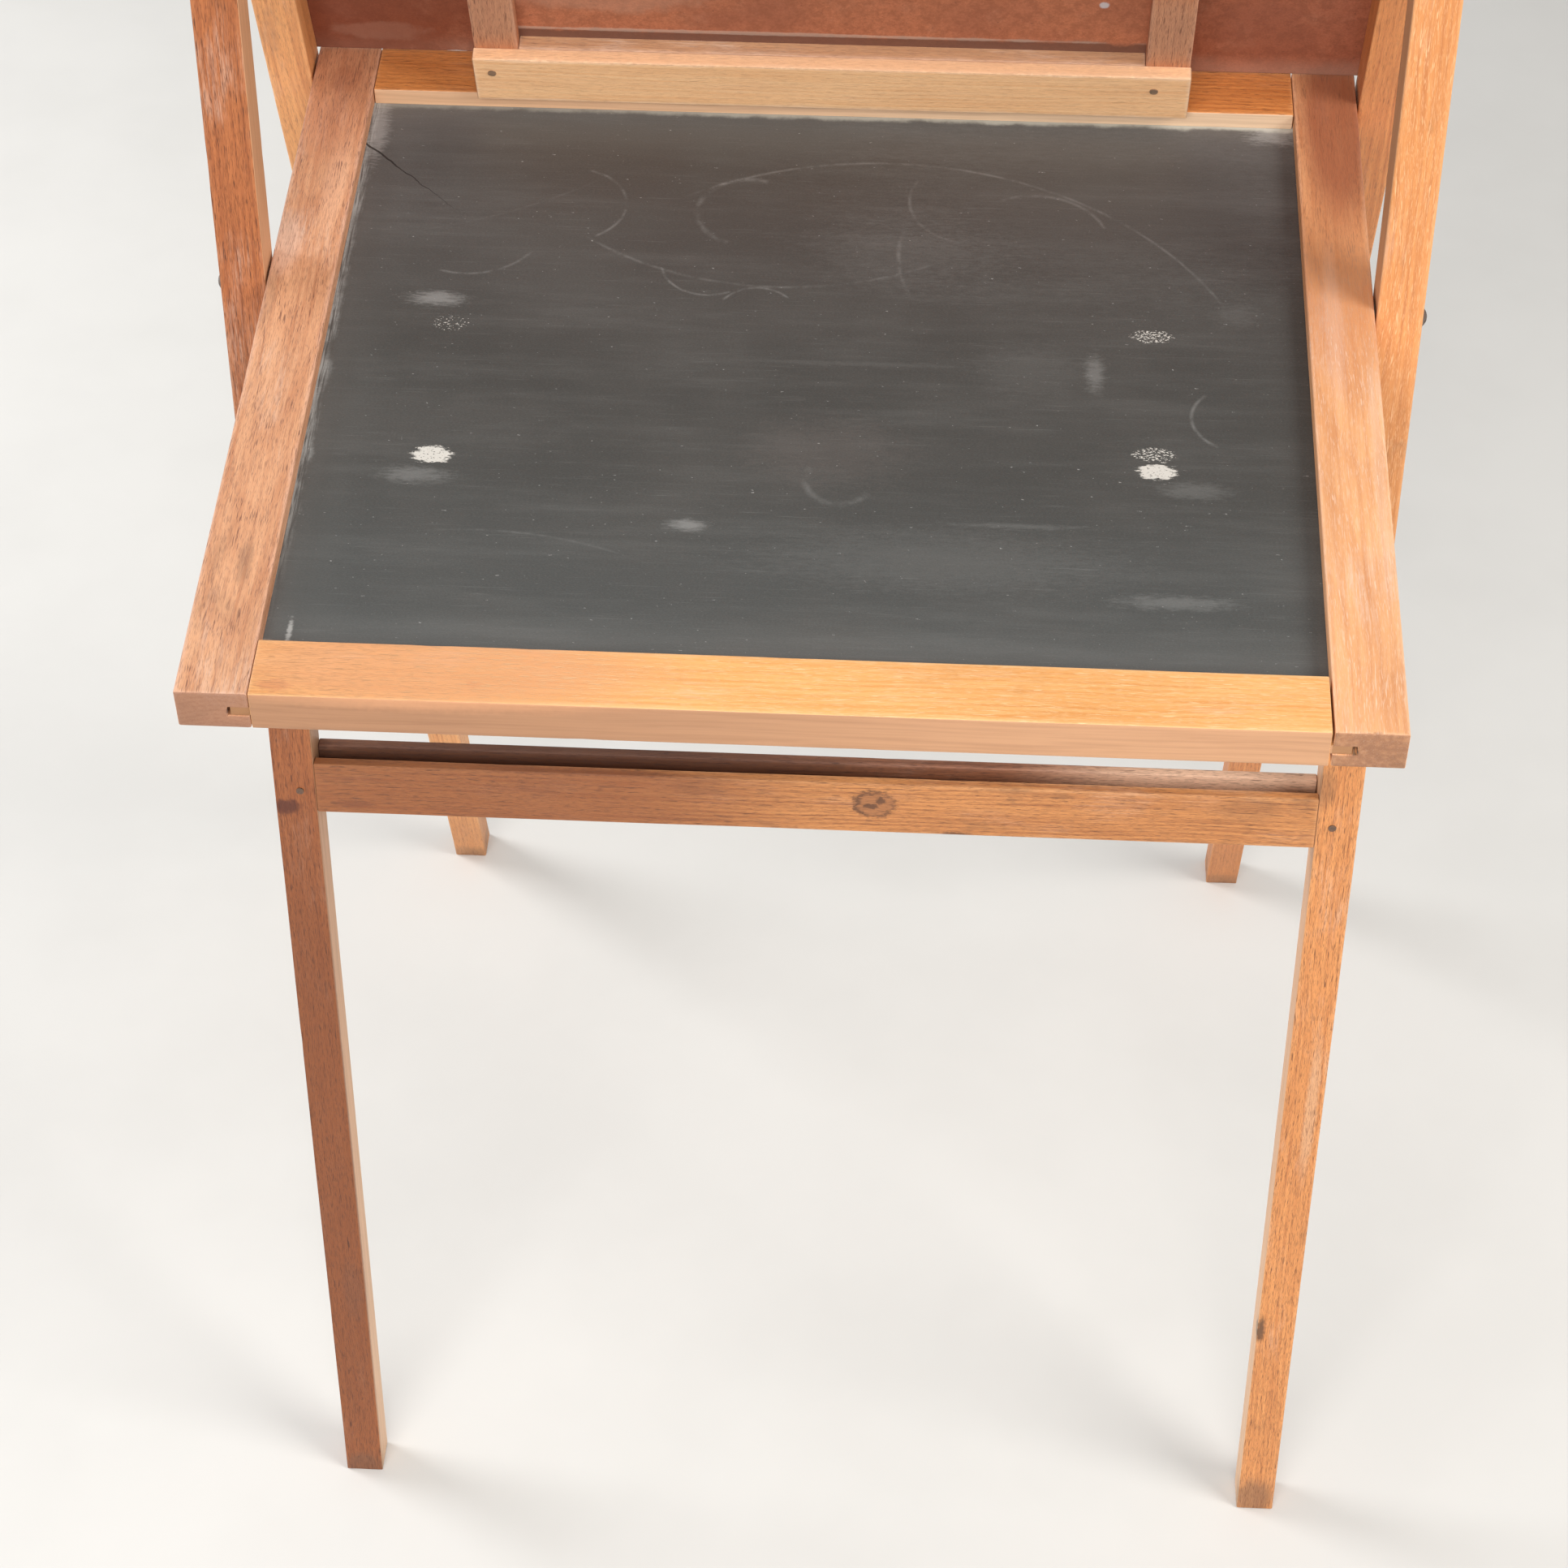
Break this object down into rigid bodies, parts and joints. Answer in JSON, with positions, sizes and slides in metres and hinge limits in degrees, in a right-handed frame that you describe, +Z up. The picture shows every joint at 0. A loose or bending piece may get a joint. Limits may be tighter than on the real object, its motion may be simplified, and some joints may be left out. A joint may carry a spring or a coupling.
{
  "type": "folding floor easel",
  "caption": "Child's folding wooden floor easel: A-frame on top hinges, a tilting framed blackboard leaf used as a desk, a chalk tray below and a small framed panel behind.",
  "frame": {"origin": "on the floor, under the middle of the bounding box", "axes": "+X to the right of someone standing at the leaf, +Y back towards the rear frame, +Z up"},
  "size_m": [0.559, 0.7742, 1.14],
  "materials": {
    "oak_frame": "worn oiled hardwood, open grain",
    "oak_leaf": "worn varnished hardwood",
    "pale_wood": "newer hardwood, thin varnish",
    "fibreboard": "smooth pressed fibreboard, brown",
    "blackboard": "matt blackboard paint on board, chalk dust",
    "dark_steel": "tarnished steel wire and screws",
    "hinge_steel": "dull plated steel"
  },
  "bodies": {
    "front_frame": {"front_left_upright": "oak_frame", "front_right_upright": "oak_frame", "front_top_rail": "oak_frame", "tray_front_board": "oak_frame", "tray_back_board": "oak_frame", "tray_floor": "oak_frame", "tray_nails": "dark_steel", "front_hinge_plates": "hinge_steel", "hinge_pins": "hinge_steel", "front_hinge_screws": "hinge_steel"},
    "leaf": {"leaf_left_stile": "oak_leaf", "leaf_right_stile": "oak_leaf", "leaf_front_rail": "oak_leaf", "leaf_back_rail": "oak_leaf", "blackboard_panel": "blackboard", "pivot_screws": "dark_steel", "pivot_washers": "dark_steel"},
    "rear_frame": {"rear_left_leg": "oak_frame", "rear_right_leg": "oak_frame", "rear_top_rail": "oak_frame", "rear_stretcher": "oak_frame", "back_panel": "fibreboard", "back_panel_nails": "dark_steel", "inset_left_stile": "oak_frame", "inset_right_stile": "oak_frame", "inset_bottom_rail": "oak_frame", "inset_top_rail": "oak_frame", "inset_panel": "fibreboard", "stop_strip": "pale_wood", "stop_strip_nails": "dark_steel", "spacer_blocks": "oak_frame", "rear_hinge_plates": "hinge_steel", "rear_hinge_screws": "hinge_steel"}
  },
  "joints": [
    {"name": "rear_frame_fold", "type": "hinge", "parent": "front_frame", "child": "rear_frame", "pos_m": [0, -0.09227, 1.13437], "axis": [-1, 0, 0], "range_deg": [0, 20.6]},
    {"name": "leaf_tilt", "type": "hinge", "parent": "front_frame", "child": "leaf", "pos_m": [0, -0.11859, 0.82849], "axis": [-1, 0, 0], "range_deg": [0, 99.3]}
  ],
  "couplings": [
    {"joint": "leaf_tilt", "follows": "rear_frame_fold", "ratio": 4.8107}
  ]
}
